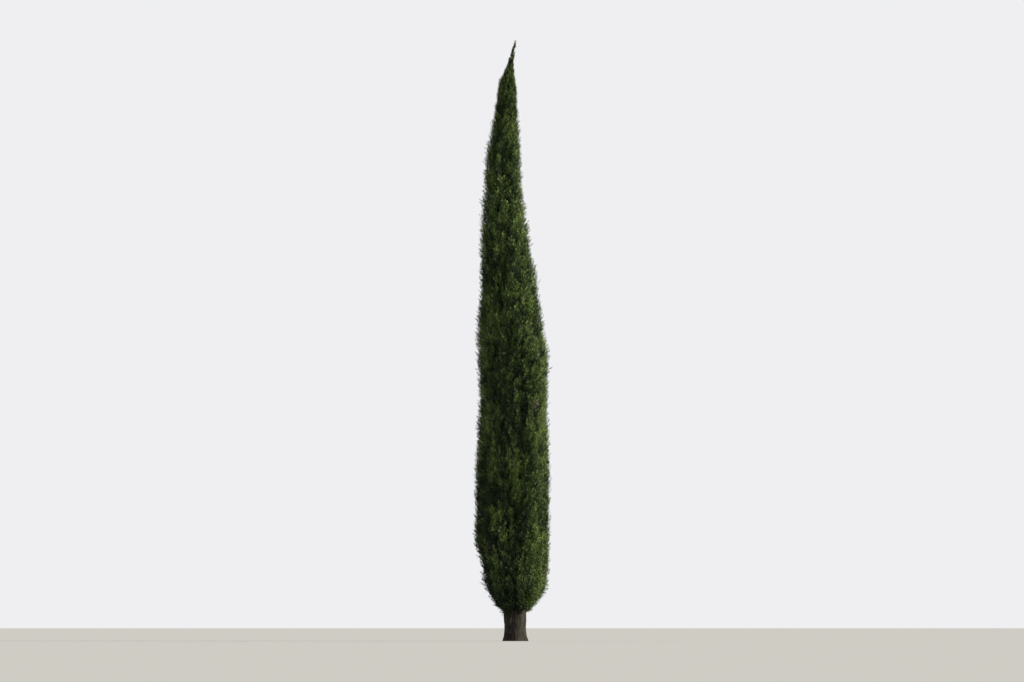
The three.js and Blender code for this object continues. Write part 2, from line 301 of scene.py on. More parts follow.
def crown_map():
    """The crown over a grid of height and bearing: how far it reaches from the middle line, and which mass
    reaches furthest. Where masses part it is drawn out to SEAM_DEPTH under the furthest reach nearby."""
    rng = np.random.default_rng(SEED)
    parts = [triangles_of("foliage_" + mass) for mass in MASSES]
    owner = np.repeat(np.arange(len(parts)), [len(p) for p in parts])
    place, face = scatter(rng, np.concatenate(parts), MAP_POINTS)
    out = place[:, :2] - middle_line(place[:, 2])
    distance = np.linalg.norm(out, axis=1)
    share = np.arctan2(out[:, 1], out[:, 0]) / (2 * np.pi) % 1
    level, bearing = (place[:, 2] / MAP_STEP).astype(int), (share * MAP_BEARINGS).astype(int)
    cell = level * MAP_BEARINGS + bearing % MAP_BEARINGS
    order = np.lexsort((distance, cell))
    reach = np.zeros((int(TREE_HEIGHT / MAP_STEP) + 1, MAP_BEARINGS))
    mass = np.full(reach.shape, -1)
    reach.flat[cell[order]] = distance[order]
    mass.flat[cell[order]] = owner[face][order]
    nearby = np.stack([np.roll(reach, turn, axis=1) for turn in NEARBY_BEARINGS])
    masses = np.stack([np.roll(mass, turn, axis=1) for turn in NEARBY_BEARINGS])
    furthest = nearby.argmax(axis=0)[None]
    nearest = np.take_along_axis(masses, furthest, axis=0)[0]
    drawn = np.take_along_axis(nearby, furthest, axis=0)[0] - SEAM_DEPTH
    mass = np.where(mass < 0, nearest, mass)
    reach = np.where(mass < 0, 0, np.maximum(reach, drawn))
    filled = reach > 0
    mean = reach.sum(axis=1) / np.maximum(filled.sum(axis=1), 1)
    levels = (np.arange(len(reach)) + 0.5) * MAP_STEP
    return SimpleNamespace(
        reach=reach,
        mass=mass,
        mean_reach=lambda height: np.interp(height, levels, mean),
        foot=place[:, 2].min(),
    )


def fineness(height):
    """How small everything is at a height: 1 on the full crown, and less where it gets slender."""
    return np.clip(crown.mean_reach(height) / FULL_REACH, LEAST_FINENESS, 1)


def buds(rng, step, tall):
    """Places dealt evenly over the crown, one in each cell of a lattice. A cell is step wide and tall times
    as high, finer where the crown is slender, and each row starts a golden share of a turn further on.
    Returns where they lie on the skin, their headings straight out, their masses, the room between skin and
    trunk, and their fineness."""
    heights = np.linspace(crown.foot, TREE_HEIGHT, BUD_LEVELS)
    rows = np.cumsum((heights[1] - heights[0]) / (step * tall * fineness(heights)))
    middle = np.interp(np.arange(int(rows[-1])) + 0.5, rows, heights)
    columns = np.round(2 * np.pi * crown.mean_reach(middle) / (step * fineness(middle)))
    columns = np.maximum(columns, LEAST_BUDS).astype(int)
    row = np.repeat(np.arange(len(columns)), columns)
    column = np.arange(len(row)) - np.repeat(np.cumsum(columns) - columns, columns)
    height = np.interp(row + rng.random(len(row)), rows, heights)
    along_row = (column + BUD_ASIDE * rng.random(len(row))) / columns[row]
    share = (along_row + row * GOLDEN_TURN / (2 * np.pi)) % 1
    level, bearing = (height / MAP_STEP).astype(int), (share * MAP_BEARINGS).astype(int)
    reach, mass = crown.reach[level, bearing], crown.mass[level, bearing]
    out = np.stack([np.cos(2 * np.pi * share), np.sin(2 * np.pi * share), np.zeros(len(row))], axis=-1)
    place = np.column_stack([middle_line(height), height]) + out * reach[:, None]
    dealt = SimpleNamespace(
        place=place, out=out, mass=mass, room=reach - trunk_radius(height), fine=fineness(height)
    )
    return only(dealt, reach > 0)


def foot_buds(rng, line, low, number):
    """Buds round a bough's bare foot, where it comes out of the trunk."""
    base = line(low + rng.uniform(*FOOT.stretch, FOOT.shoots))
    away = rng.normal(size=base.shape) * LEVEL
    out = unit(unit((base - line(np.array([low - ROOT_BELOW]))) * LEVEL) + FOOT.aside * unit(away))
    place = base + out * FOOT.out + np.array([0, 0, FOOT.up])
    full = np.ones(FOOT.shoots)
    return SimpleNamespace(
        place=place, out=out, mass=number * full, room=FOOT.room * full, fine=FOOT.fine * full
    )


def tip_buds(number):
    """Buds round the leader's last stretch, ever closer to its middle, and one at its very tip."""
    share = np.linspace(1, 0, TIP.shoots)
    height, turn = LEADER_TIP[2] - TIP.stretch * share, np.arange(TIP.shoots) * GOLDEN_TURN
    out = unit(np.column_stack([np.cos(turn) * share, np.sin(turn) * share, TIP.rise * (1 - share)]))
    place = np.column_stack([middle_line(height), height]) + out * (TIP.half * share)[:, None]
    full = np.ones(TIP.shoots)
    fine = np.interp(share, (0, 1), TIP.fine)
    return SimpleNamespace(place=place, out=out, mass=number * full, room=TIP.room * full, fine=fine)


def only(dealt, chosen):
    """Some of the buds."""
    return SimpleNamespace(**{key: value[chosen] for key, value in vars(dealt).items()})


# Growing


def on_curve(curve, height):
    """Where a curve fitted over height lies at a height."""
    return np.column_stack([np.polyval(curve[:, i], height) for i in range(2)])


def limb_line(mass):
    """How a bough runs on through its mass, as a function of height: out of the trunk along the CAD
    bough's middle line, and drawn above its end towards the mass's middle. Both are curves fitted over
    height. Returns it with its two ends. The leader's own limb is the trunk's tip."""
    inside = scatter(np.random.default_rng(SEED), triangles_of("foliage_" + mass), LIMB_POINTS)[0]
    foot, tip = inside[:, 2].min(), inside[:, 2].max()
    if mass == "leader":
        return lambda z: np.column_stack([middle_line(z), z]), foot - LEADER_BELOW, tip
    core = np.polyfit(inside[:, 2], inside[:, :2], 3)
    bough = triangles_of("bough_" + mass).reshape(-1, 3)
    base = np.polyfit(bough[:, 2], bough[:, :2], 2)
    low, end = bough[:, 2].min(), bough[:, 2].max()
    away = unit(on_curve(base, low)[0] - middle_line(low))

    def line(z):
        share = smooth((z - end) / (LIMB_BLEND * (tip - foot)))[:, None]
        share_out = smooth((z - low + ROOT_BELOW) / (ROOT_BELOW + ROOT_ABOVE))[:, None]
        upper = middle_line(z) * (1 - LIMB_SHARE) + on_curve(core, z) * LIMB_SHARE
        outside = on_curve(base, z) * (1 - share) + upper * share
        within = middle_line(z) + away * ROOT_SHARE * trunk_radius(z)[:, None]
        return np.column_stack([within * (1 - share_out) + outside * share_out, z])

    return line, low, tip - LIMB_END * (tip - foot)


def grow_branches(rng, line, low, high, ends):
    """Curves from the limb out and up to just under the skin, as start, turning point and end."""
    rise = rng.uniform(*BRANCH_RISE, len(ends.fine)) * ends.fine
    start = line(np.clip(ends.place[:, 2] - rise, low, high))
    end = ends.place - ends.out * np.minimum(BRANCH_DEPTH * ends.fine, 0.5 * ends.room)[:, None]
    turn = start + (end - start) * BRANCH_TURN
    return start, turn, end


def grow_shoots(rng, branches, line, low, high, ends, layer):
    """Curves from the nearest branch, or from the limb itself, to the skin. A shoot picks the place that
    lies nearest across and about SHOOT_RISE below. It ends deeper, and nearer to its branch, the further it
    stands off the branch's own line. Near the CAD box's sides it is held back."""
    on_branch = along_curve(*branches, np.linspace(*SHOOT_STARTS)[:, None, None]).reshape(-1, 3)
    on_limb = line(np.linspace(low + 0.5 * ROOT_ABOVE, high, LIMB_STARTS))
    places = np.concatenate([on_branch, on_limb])
    gap = ends.place[:, None] - places[None]
    cost = np.linalg.norm(gap[..., :2], axis=-1)
    cost += RISE_COST * np.abs(gap[..., 2] - SHOOT_RISE * ends.fine[:, None])
    cost += LOW_COST * np.maximum(SHOOT_LEAST_RISE - gap[..., 2], 0)
    nearest = cost.argmin(axis=1)
    start = places[nearest]
    branch = np.where(nearest < len(on_branch), nearest % len(branches[0]), -1)
    tips = np.concatenate([branches[2], line(np.array([high]))])
    aside = (tips[branch] - ends.place) * LEVEL
    aside -= ends.out * (aside * ends.out).sum(axis=1, keepdims=True)
    off = np.linalg.norm(aside, axis=1) / PLUME_HALF
    aside /= np.maximum(off, 1)[:, None]
    off = np.minimum(off, 1)
    depth = layer.depth + PLUME_CROWN * off**2 + rng.uniform(*SHOOT_UNEVEN, len(off))
    depth += rng.uniform(0, PLUME_UNEVEN, len(tips))[branch]
    depth = np.minimum(depth * ends.fine, layer.most * ends.room)
    end = ends.place + aside * layer.pull - ends.out * depth[:, None]
    for side, corner in ((-1, CAD_BOX[0]), (1, CAD_BOX[1])):
        over = np.maximum(side * (end[:, :2] - corner[:2]) + BOX_MARGIN + BOX_EASE, 0)
        end[:, :2] -= side * (over - BOX_EASE * (1 - np.exp(-over / BOX_EASE)))
    turn = start + (end - start) * SHOOT_TURN
    return (start, turn, end), branch, off


def grow_sprays(rng, shoots, ends, layer):
    """Sprays round each shoot's outer part, each a golden turn on from the last, leaning out and up. They
    are longest halfway, as half a wave is highest there, and the last carries the shoot on. Returns their
    feet, headings and lengths, shoots by sprays."""
    count = len(ends.fine)
    t = np.linspace(SPRAY_START, 1, layer.sprays)[None] + rng.uniform(*SPRAY_SHIFT, (count, layer.sprays))
    t = np.minimum(t, 1)[..., None]
    curve = [part[:, None] for part in shoots]
    feet, ahead = along_curve(*curve, t), heading(*curve, t)
    turn = rng.uniform(0, 2 * np.pi, (count, 1)) + np.arange(layer.sprays) * GOLDEN_TURN
    lean = SPRAY_LEAN * (1 - SPRAY_CLOSING * t[..., 0] ** 2) * rng.uniform(*SPRAY_UNEVEN, turn.shape)
    lean[:, -1] *= LAST_LEAN[0]
    ways = round_about(ahead, turn, lean)[0]
    fine = ends.fine[:, None, None]
    ways = unit(ways + SPRAY_OUT * fine * ends.out[:, None] + np.array([0, 0, SPRAY_UP]) / fine)
    length = layer.spray_length * ends.fine[:, None] * rng.uniform(*SPRAY_SIZES, turn.shape)
    length *= 0.75 + 0.5 * np.sin(np.pi * np.linspace(0.15, 0.95, layer.sprays))
    return feet, ways, length


def grow_leaves(rng, feet, ways, length, fine, broad, layer):
    """Every leafy sprig's foot, heading, ridge direction, length and width, and the same for the two
    crossed blades that make the stem of each spray. Sprigs stand round a spray that curves upwards, each a
    golden turn on from the last. broad widens a spray's cords."""
    count = len(feet)
    s = np.linspace(*SPRIG_STRETCH, layer.leaves)[None] + rng.uniform(*SPRIG_SHIFT, (count, layer.leaves))
    end = feet + ways * length[:, None]
    turn_point = feet + ways * (0.5 * length)[:, None] - np.array([0, 0, STEM_SAG]) * length[:, None]
    curve = [part[:, None] for part in (feet, turn_point, end)]
    base, ahead = along_curve(*curve, s[..., None]), heading(*curve, s[..., None])
    turn = rng.uniform(0, 2 * np.pi, (count, 1)) + np.arange(layer.leaves) * GOLDEN_TURN
    lean = (SPRIG_LEAN[0] - SPRIG_LEAN[1] * s) * rng.uniform(*SPRIG_UNEVEN, turn.shape)
    lean[:, -1] *= LAST_LEAN[1]
    way, ridge = round_about(ahead, turn, lean)
    full_size, full_width = layer.leaf
    size = full_size * (1 - SPRIG_SHRINK * s) * rng.uniform(*SPRIG_SIZES, s.shape)
    size = size * fine[:, None] ** FINE_POWER
    width = full_width * rng.uniform(*SPRIG_WIDTHS, s.shape) * (broad * fine**FINE_POWER)[:, None]
    stem_way = unit(end - feet)
    stem = (length * STEM_SHARE, STEM_WIDTH * fine)
    blades = [(feet, stem_way, side, *stem) for side in cross_axes(stem_way)]
    sprigs = (base.reshape(-1, 3), way.reshape(-1, 3), ridge.reshape(-1, 3), size.ravel(), width.ravel())
    return sprigs, blades


def grow_foliage(rng, shoots, branch, off, ends, layer, plume_tones):
    """A layer's leaves as a mesh, with the tone of each spray repeated for its faces. Tone rises along a
    shoot and falls towards a plume's sides, and differs by plume, shoot and spray."""
    feet, ways, length = grow_sprays(rng, shoots, ends, layer)
    tone = layer.tone + plume_tones[branch][:, None] - SIDE_TONE * off[:, None] ** 2
    tone = tone + np.linspace(*SHOOT_TONES, layer.sprays) + rng.normal(0, SHOOT_SPREAD, (len(off), 1))
    tone = (tone + rng.normal(0, SPRAY_SPREAD, tone.shape)).ravel()
    fine = np.repeat(ends.fine, layer.sprays)
    broad = np.tile(np.linspace(OLD_BREADTH, 1, layer.sprays), len(off))
    feet, ways = feet.reshape(-1, 3), ways.reshape(-1, 3)
    sprigs, blades = grow_leaves(rng, feet, ways, length.ravel(), fine, broad, layer)
    points, faces = joined([cords(*sprigs, SPRIG)] + [cords(*blade, SPRIG[:1]) for blade in blades])
    return points, faces, np.concatenate([np.repeat(tone, layer.leaves * len(SPRIG)), tone, tone])


def cords(foot, way, ridge, size, width, pattern):
    """Narrow cords, one triangle each and pointed at both ends, which fork from the first of each sprig to
    both sides of it. Each row of the pattern gives where a cord starts, its bearing and its length."""
    ridge = unit(ridge - way * (ridge * way).sum(axis=-1, keepdims=True))
    start, bearing, reach = pattern.T[:, :, None]
    along = start + reach * np.cos(bearing) * CORD[:, 0]
    across = reach * np.sin(bearing) * CORD[:, 0]
    lift = SPRIG_LIFT * np.abs(across)
    wide = np.sqrt(reach) * CORD[:, 1] * np.where(bearing < 0, -1, 1)
    size, width = size[:, None, None, None], width[:, None, None, None]
    way, ridge, foot = way[:, None, None], ridge[:, None, None], foot[:, None, None]
    side = np.cross(way, ridge)
    points = foot + (along[..., None] * way + across[..., None] * side + lift[..., None] * ridge) * size
    points = (points + wide[..., None] * side * width).reshape(-1, 3)
    return points, np.arange(len(points)).reshape(-1, 3)


def cone_places(rng, shoots, ways):
    """Clusters of cones beside the outer ends of shoots: those nearest the places where clusters show on
    the viewer's side, and others dealt over the crown below its spire. ways are the shoots' headings
    straight out. Returns the cones' middles and radii."""
    tips = shoots[2]
    facing = np.where(ways[:, 1] < FACING, 0, FAR)
    seen = [np.argmin(np.hypot(tips[:, 0] - x, tips[:, 2] - z) + facing) for x, z in CLUSTERS_IN_VIEW]
    lower = np.flatnonzero((tips[:, 2] > CONE_HEIGHTS[0]) & (tips[:, 2] < CONE_HEIGHTS[1]))
    heads = np.concatenate([seen, rng.choice(lower, CONE_CLUSTERS, replace=False)])
    distance = np.linalg.norm(tips[heads][:, None] - tips[None], axis=-1)
    near = np.argsort(distance, axis=1)[:, :SHOOTS_IN_CLUSTER]
    chosen = np.repeat(near.ravel(), CONES_ON_SHOOT)
    t = rng.uniform(*CONE_STRETCH, (len(chosen), 1))
    radii = CONE_RADIUS * rng.uniform(*CONE_SIZES, len(chosen))
    on_shoot = along_curve(*[part[chosen] for part in shoots], t)
    away = unit(ways[chosen] + CONE_SCATTER * rng.normal(size=(len(chosen), 3)))
    return on_shoot + away * (radii[:, None] + rng.uniform(*CONE_GAP, t.shape)), radii


# Surfaces


def skin_of_tubes(paths, radii, sides):
    """Closed tubes, one along each path: rings at right angles to the path, and one point at each end.
    paths is tubes by rings by axes, radii is tubes by rings, or by rings by sides where uneven."""
    tubes, rings = paths.shape[:2]
    along = unit(np.gradient(paths, axis=1))
    least = np.eye(3)[np.argmin(np.abs(paths[:, -1] - paths[:, 0]), axis=-1)][:, None]
    across = unit(np.cross(along, least))
    over = np.cross(along, across)
    turn = (np.arange(sides) * 2 * np.pi / sides)[:, None]
    out = across[:, :, None] * np.cos(turn) + over[:, :, None] * np.sin(turn)
    radii = radii if radii.ndim == 3 else radii[..., None]
    skin = paths[:, :, None] + out * radii[..., None]
    points = np.concatenate([skin.reshape(tubes, -1, 3), paths[:, :1], paths[:, -1:]], axis=1)
    faces = tube_faces(rings, sides)
    faces = faces[None] + (np.arange(tubes) * points.shape[1])[:, None, None]
    return points.reshape(-1, 3), faces.reshape(-1, 3)


def tapered(curves, radius, rings, sides):
    """Twigs: tubes along growing curves, which taper evenly."""
    paths = along_curve(*[part[:, None] for part in curves], np.linspace(0, 1, rings)[:, None])
    radii = radius * np.linspace(1, TWIG_TAPER, rings) * np.ones((len(paths), 1))
    return skin_of_tubes(paths, radii, sides)


def tube_faces(rings, sides):
    """The triangles of one tube whose rings follow each other, with its foot and its tip last."""
    ring, side = np.meshgrid(np.arange(rings - 1), np.arange(sides), indexing="ij")
    a = ring * sides + side
    b = ring * sides + (side + 1) % sides
    wall = np.stack([a, b, b + sides, a, b + sides, a + sides], axis=-1).reshape(-1, 3)
    j = np.arange(sides)
    k = (j + 1) % sides
    foot, tip = rings * sides, rings * sides + 1
    top = (rings - 1) * sides
    low = np.stack([k, j, np.full(sides, foot)], axis=-1)
    high = np.stack([top + j, top + k, np.full(sides, tip)], axis=-1)
    return np.concatenate([wall, low, high])


def uneven(seed, round_count, step, turn, rise):
    """Smooth uneven numbers from -1 to 1 over a stem: seeded numbers on a lattice, round_count round it and
    one every step up it, blended with their neighbours."""
    lattice = np.random.default_rng(seed).uniform(-1, 1, (LATTICE_ROWS, round_count))
    a = turn / (2 * np.pi) * round_count
    b = rise / step
    i, j = np.floor(a).astype(int), np.floor(b).astype(int)
    share_a, share_b = smooth(a - i), smooth(b - j)

    def row(up):
        left = lattice[(j + up) % LATTICE_ROWS, i % round_count]
        right = lattice[(j + up) % LATTICE_ROWS, (i + 1) % round_count]
        return left * (1 - share_a) + right * share_a

    return row(0) * (1 - share_b) + row(1) * share_b


def bark_relief(turn, rise, cells):
    """How far bark stands out, from 0 in a furrow to 1 on a strip. Furrows run where uneven numbers, drawn
    out along the stem, change sign, so that strips are long, part and meet again. Finer such numbers fray
    them. cells is how many of those numbers stand round the stem, two or three to a strip."""
    wander = 1.1 * uneven(1, 7, 0.26, turn, rise) + 0.3 * uneven(2, 17, 0.1, turn, rise)
    aside = turn + (STRIP_TWIST * rise + wander) * 2 * np.pi / cells
    broad = uneven(3, cells, 0.17, aside, rise) + 0.4 * uneven(5, 2 * cells, 0.05, aside, rise)
    frayed = uneven(6, 2 * cells, 0.09, aside, rise)
    furrow = np.exp(-((broad / FURROW_WIDTH) ** 2))
    groove = np.exp(-((frayed / FRAY_WIDTH) ** 2))
    return 1 - FURROW_DEPTH * furrow - FRAY_DEPTH * groove * (1 - furrow)


def trunk_skin():
    """The trunk over a grid of bearing and height. Its radius is the CAD rings' own, as the first waves
    round each ring, and the bark's relief stands on it. Returns its corners and triangles, the relief, and
    the corners of the same trunk without its lean."""
    share = np.linspace(0, 1, TRUNK_ROWS)
    rise = TRUNK_HEIGHTS[-1] * np.sinh(TRUNK_CROWDING * share) / np.sinh(TRUNK_CROWDING)
    turn = np.arange(TRUNK_COLUMNS) * 2 * np.pi / TRUNK_COLUMNS
    waves = np.array([ring_waves(ring, middle) for ring, middle in zip(TRUNK_RINGS, TRUNK_MIDDLES)])
    waves = np.stack([np.interp(rise, TRUNK_HEIGHTS, column) for column in waves.T], axis=1)
    radius = waves @ wave_rows(turn).T
    rise, turn = np.meshgrid(rise, turn, indexing="ij")
    crest = bark_relief(turn, rise, int(2 * np.pi * radius[0].mean() / STRIP_CELL))
    depth = STRIP_DEPTH * np.clip(radius / radius[0].mean(), 0, 1)
    fibre = uneven(4, 150, 0.05, turn, rise) * FIBRE_DEPTH * np.clip(radius / 0.1, 0, 1)
    radius = radius + depth * (crest - CREST_LEVEL) + fibre + ribs(turn, rise)
    straight = np.stack([radius * np.cos(turn), radius * np.sin(turn), rise], axis=-1).reshape(-1, 3)
    straight = np.concatenate([straight, [[0, 0, 0], [0, 0, TRUNK_HEIGHTS[-1] + 0.01]]])
    points = straight + np.column_stack([middle_line(straight[:, 2]), np.zeros(len(straight))])
    crest = np.append(crest.ravel(), [0.5, 0.5])
    return points, tube_faces(TRUNK_ROWS, TRUNK_COLUMNS), crest, straight


def ribs(turn, rise):
    """How far the trunk swells under its lowest boughs: a rib under each, bell-shaped round the trunk, that
    grows up to where the bough comes out and is gone soon above."""
    swell = np.zeros_like(turn)
    for mass in [mass for mass in MASSES if mass.startswith("skirt")]:
        line, low, _ = limb_line(mass)
        away = line(np.array([low]))[0, :2] - middle_line(low)
        aside = (turn - np.arctan2(away[1], away[0]) + np.pi) % (2 * np.pi) - np.pi
        up = smooth((rise - low) / RIB_BELOW + 1) * smooth(1 - (rise - low) / RIB_ABOVE)
        swell += RIB_DEPTH * np.exp(-((aside / RIB_TURN) ** 2)) * up
    return swell


def wave_rows(turn):
    """One and the first waves round a ring, at each bearing."""
    waves = [np.ones_like(turn)]
    for k in range(1, RING_WAVES + 1):
        waves += [np.cos(k * turn), np.sin(k * turn)]
    return np.stack(waves, axis=-1)


def ring_waves(ring, middle):
    """The heights of the waves that fit a CAD ring's radius."""
    out = ring[:, :2] - middle
    rows = wave_rows(np.arctan2(out[:, 1], out[:, 0]))
    return np.linalg.lstsq(rows, np.linalg.norm(out, axis=1), rcond=None)[0]


def bough_skin(mass, line, low, high):
    """A bough over a grid of bearing and height, from inside the trunk to near its mass's tip, with a
    collar where it leaves the trunk and the bark's relief. Returns what trunk_skin does."""
    bough = triangles_of("bough_" + mass).reshape(-1, 3)
    lowest = bough[bough[:, 2] < bough[:, 2].min() + 0.25 * np.ptp(bough[:, 2])]
    base = np.polyfit(bough[:, 2], bough[:, :2], 2)
    start_radius = np.linalg.norm(lowest[:, :2] - on_curve(base, lowest[:, 2]), axis=1).max()
    share = np.linspace(0, 1, BOUGH_ROWS) ** BOUGH_CROWDING
    rise = low - ROOT_BELOW + (high - low + ROOT_BELOW) * share
    radius = start_radius * (1 - share) ** BOUGH_TAPER + BOUGH_END_RADIUS
    radius *= ROOT_SHARE + (1 - ROOT_SHARE) * smooth((rise - low) / ROOT_BELOW + 1)
    radius *= 1 + BOUGH_COLLAR * np.exp(-(((rise - low) / (2 * ROOT_ABOVE)) ** 2))
    columns = LOW_BOUGH_COLUMNS if mass.startswith("skirt") else BOUGH_COLUMNS
    turns, rises = np.meshgrid(np.arange(columns) * 2 * np.pi / columns, rise)
    crest = bark_relief(turns, rises, columns // CELL_COLUMNS)
    radii = radius[:, None] * (1 + BOUGH_RELIEF * (crest - CREST_LEVEL))
    points, faces = skin_of_tubes(line(rise)[None], radii[None], columns)
    straight = np.stack([radii * np.cos(turns), radii * np.sin(turns), rises], axis=-1).reshape(-1, 3)
    straight = np.concatenate([straight, [[0, 0, rise[0]], [0, 0, rise[-1]]]])
    return points, faces, np.append(crest.ravel(), [0.5, 0.5]), straight


def cone_skins(rng, middles, radii):
    """Cones of twelve woody scales. On a ball, rings of five points at fixed tilts are the scales' middles
    and their corners, which lie deeper. Each scale is a fan round its middle, through the five corners
    nearest to it. Returns the points, the triangles, and 1 at scales' middles and 0 in grooves."""
    turn = np.arange(5) * 2 * np.pi / 5
    half = np.pi / 5
    middle_tilt = np.arctan(2)
    inner, outer = np.arccos(CORNER_HEIGHTS)
    tilts = [middle_tilt, np.pi - middle_tilt, inner, outer, np.pi - outer, np.pi - inner]
    rings = []
    for tilt, start in zip(tilts, [0, half, half, half, 0, 0]):
        across, over = np.sin(tilt) * np.cos(turn + start), np.sin(tilt) * np.sin(turn + start)
        rings.append(np.column_stack([across, over, np.full(5, np.cos(tilt))]))
    bosses = np.concatenate([*rings[:2], [[0, 0, 1], [0, 0, -1]]])
    corners = np.concatenate(rings[2:])
    near = np.argsort(-(bosses @ corners.T), axis=1)[:, :5]
    across, over = [(corners[near] * axis[:, None]).sum(axis=-1) for axis in cross_axes(bosses)]
    near = np.take_along_axis(near, np.arctan2(over, across).argsort(axis=1), axis=1)
    boss, edge = np.repeat(np.arange(SCALES), 5), near + SCALES
    faces = np.stack([boss, edge.ravel(), np.roll(edge, -1, axis=1).ravel()], axis=-1)
    ball = np.concatenate([bosses, corners * CONE_GROOVE])
    across, over = cross_axes(unit(rng.normal(size=(len(middles), 3))))
    axes = np.stack([across, over, np.cross(across, over)], axis=1)
    points = middles[:, None] + radii[:, None, None] * (ball[None] @ axes)
    faces = faces[None] + (np.arange(len(middles)) * len(ball))[:, None, None]
    boss = np.tile(np.append(np.ones(SCALES), np.zeros(CORNERS)), len(middles))
    return points.reshape(-1, 3), faces.reshape(-1, 3), boss


def joined(parts):
    """Several meshes' corners and triangles as one mesh's."""
    starts = np.cumsum([0] + [len(points) for points, _ in parts[:-1]])
    faces = [faces + start for (_, faces), start in zip(parts, starts)]
    return np.concatenate([points for points, _ in parts]), np.concatenate(faces)


# Finishes


def linear(hex_colour):
    """A colour given as sRGB hex, as the linear values that shaders take."""
    value = np.array([int(hex_colour[i:i + 2], 16) for i in (1, 3, 5)]) / 255
    value = np.where(value <= 0.04045, value / 12.92, ((value + 0.055) / 1.055) ** 2.4)
    return (*value, 1.0)


def add(tree, kind, settings=None, links=None):
    """Adds a node. settings fills its sockets and properties, or a ramp's stops, and links joins its
    sockets to other nodes' outputs."""
    node = tree.nodes.new(kind)
    for key, value in (settings or {}).items():
        if key == "stops":
            ramp = node.color_ramp.elements
            for i, (place, colour) in enumerate(value):
                stop = ramp[i] if i < 2 else ramp.new(place)
                stop.position, stop.color = place, colour
        elif isinstance(key, int) or key in node.inputs:
            node.inputs[key].default_value = value
        else:
            setattr(node, key, value)
    for socket, (source, output) in (links or {}).items():
        tree.links.new(source.outputs[output], node.inputs[socket])
    return node


def new_material(name):
    """An empty material, with its node tree and the node that it ends in."""
    material = bpy.data.materials.new(name)
    material.use_nodes = True
    material.node_tree.nodes.clear()
    return material, material.node_tree


def cypress_bark():
    """Old cypress bark: grey weathered strips with red-brown furrows, fibrous along the stem, and dull."""
    material, tree = new_material("cypress_bark")
    place = add(tree, "ShaderNodeTexCoord")
    straight = add(tree, "ShaderNodeAttribute", {"attribute_name": "straight"})
    drawn = add(tree, "ShaderNodeMapping", {"Scale": (1, 1, 0.08)}, {"Vector": (straight, "Vector")})
    # Fibres 7 mm apart that fray down to 1 mm, about twice the real ones, so that they show
    fibre = add(
        tree,
        "ShaderNodeTexNoise",
        {"Scale": 140, "Detail": 5, "Roughness": 0.7},
        {"Vector": (drawn, "Vector")},
    )
    # Weathering in patches of 60 mm
    patch = add(tree, "ShaderNodeTexNoise", {"Scale": 17, "Detail": 3}, {"Vector": (place, "Object")})
    crest = add(tree, "ShaderNodeAttribute", {"attribute_name": "crest"})
    stand = add(tree, "ShaderNodeMath", {"operation": "MULTIPLY", 1: 0.45}, {0: (crest, "Fac")})
    depth = add(
        tree,
        "ShaderNodeMath",
        {"operation": "MULTIPLY_ADD", 1: 0.6},
        {0: (fibre, "Fac"), 2: (stand, "Value")},
    )
    body = add(
        tree,
        "ShaderNodeValToRGB",
        {"stops": [(0.35, linear("#0f0e0b")), (0.66, linear("#2c2922")), (0.92, linear("#5b564a"))]},
        {"Fac": (depth, "Value")},
    )
    age = add(
        tree,
        "ShaderNodeValToRGB",
        {"stops": [(0.35, linear("#a89d88")), (0.65, linear("#cdccc0"))]},
        {"Fac": (patch, "Fac")},
    )
    colour = add(
        tree,
        "ShaderNodeMixRGB",
        {"blend_type": "MULTIPLY", "Fac": 0.8},
        {"Color1": (body, "Color"), "Color2": (age, "Color")},
    )
    bump = add(tree, "ShaderNodeBump", {"Strength": 0.9, "Distance": 0.006}, {"Height": (fibre, "Fac")})
    shader = add(
        tree,
        "ShaderNodeBsdfPrincipled",
        {"Roughness": 0.92, "Specular IOR Level": 0.25},
        {"Base Color": (colour, "Color"), "Normal": (bump, "Normal")},
    )
    add(tree, "ShaderNodeOutputMaterial", {}, {"Surface": (shader, "BSDF")})
    return material


def twig_bark():
    """Young cypress bark: thin, red-brown, a little smoother and paler along its fibres."""
    material, tree = new_material("young_cypress_bark")
    place = add(tree, "ShaderNodeTexCoord")
    # Flecks of 12 mm, drawn a few times too coarse so that they show on a thin twig
    fleck = add(tree, "ShaderNodeTexNoise", {"Scale": 80, "Detail": 3}, {"Vector": (place, "Object")})
    colour = add(
        tree,
        "ShaderNodeValToRGB",
        {"stops": [(0.35, linear("#261e18")), (0.65, linear("#463a2f"))]},
        {"Fac": (fleck, "Fac")},
    )
    shader = add(
        tree,
        "ShaderNodeBsdfPrincipled",
        {"Roughness": 0.85, "Specular IOR Level": 0.25},
        {"Base Color": (colour, "Color")},
    )
    add(tree, "ShaderNodeOutputMaterial", {}, {"Surface": (shader, "BSDF")})
    return material


